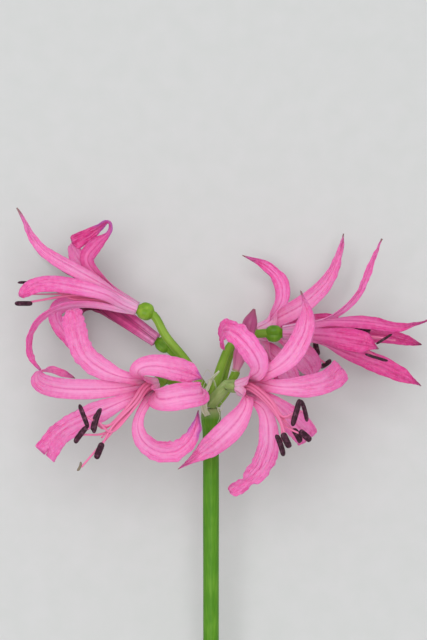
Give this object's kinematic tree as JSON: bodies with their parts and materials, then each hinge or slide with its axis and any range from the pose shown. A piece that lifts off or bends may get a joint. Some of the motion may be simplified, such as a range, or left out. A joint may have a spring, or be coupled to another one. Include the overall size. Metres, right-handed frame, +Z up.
{
  "type": "cut nerine stem",
  "caption": "Cut nerine stem lying at rest: a leafless green stalk with an umbel of narrow, wavy, recurved pink flowers, long dark-tipped stamens and a closed bud.",
  "frame": {"origin": "centre of the bounding box, on the surface that the stem lies on", "axes": "+Y from the cut end of the stalk towards the flowers, +Z up from the surface, +X to the right when looking down with the flowers away from the viewer"},
  "size_m": [0.1672, 0.4006, 0.0859],
  "materials": {
    "scape": "satin",
    "pedicel": "satin",
    "pistil": "satin",
    "stamens": "matte",
    "tepal": "satin",
    "bud": "satin",
    "spathe": "matte"
  },
  "bodies": {
    "root": {"scape": "scape", "left_high_pedicel": "pedicel", "left_high_pistil": "pistil", "left_high_tepal_1": "tepal", "left_high_tepal_2": "tepal", "left_high_tepal_3": "tepal", "left_high_tepal_4": "tepal", "left_high_tepal_5": "tepal", "left_high_tepal_6": "tepal", "left_high_stamens": "stamens", "left_back_pedicel": "pedicel", "left_back_pistil": "pistil", "left_back_tepal_1": "tepal", "left_back_tepal_2": "tepal", "left_back_tepal_3": "tepal", "left_back_tepal_4": "tepal", "left_back_tepal_5": "tepal", "left_back_tepal_6": "tepal", "left_back_stamens": "stamens", "left_front_pedicel": "pedicel", "left_front_pistil": "pistil", "left_front_tepal_1": "tepal", "left_front_tepal_2": "tepal", "left_front_tepal_3": "tepal", "left_front_tepal_4": "tepal", "left_front_tepal_5": "tepal", "left_front_tepal_6": "tepal", "left_front_stamens": "stamens", "right_front_pedicel": "pedicel", "right_front_pistil": "pistil", "right_front_tepal_1": "tepal", "right_front_tepal_2": "tepal", "right_front_tepal_3": "tepal", "right_front_tepal_4": "tepal", "right_front_tepal_5": "tepal", "right_front_tepal_6": "tepal", "right_front_stamens": "stamens", "right_high_pedicel": "pedicel", "right_high_pistil": "pistil", "right_high_tepal_1": "tepal", "right_high_tepal_2": "tepal", "right_high_tepal_3": "tepal", "right_high_tepal_4": "tepal", "right_high_tepal_5": "tepal", "right_high_tepal_6": "tepal", "right_high_stamens": "stamens", "right_back_pedicel": "pedicel", "right_back_pistil": "pistil", "right_back_tepal_1": "tepal", "right_back_tepal_2": "tepal", "right_back_tepal_3": "tepal", "right_back_tepal_4": "tepal", "right_back_tepal_5": "tepal", "right_back_tepal_6": "tepal", "right_back_stamens": "stamens", "bud_pedicel": "pedicel", "bud": "bud", "spathe_front": "spathe", "spathe_back": "spathe"}
  },
  "joints": []
}
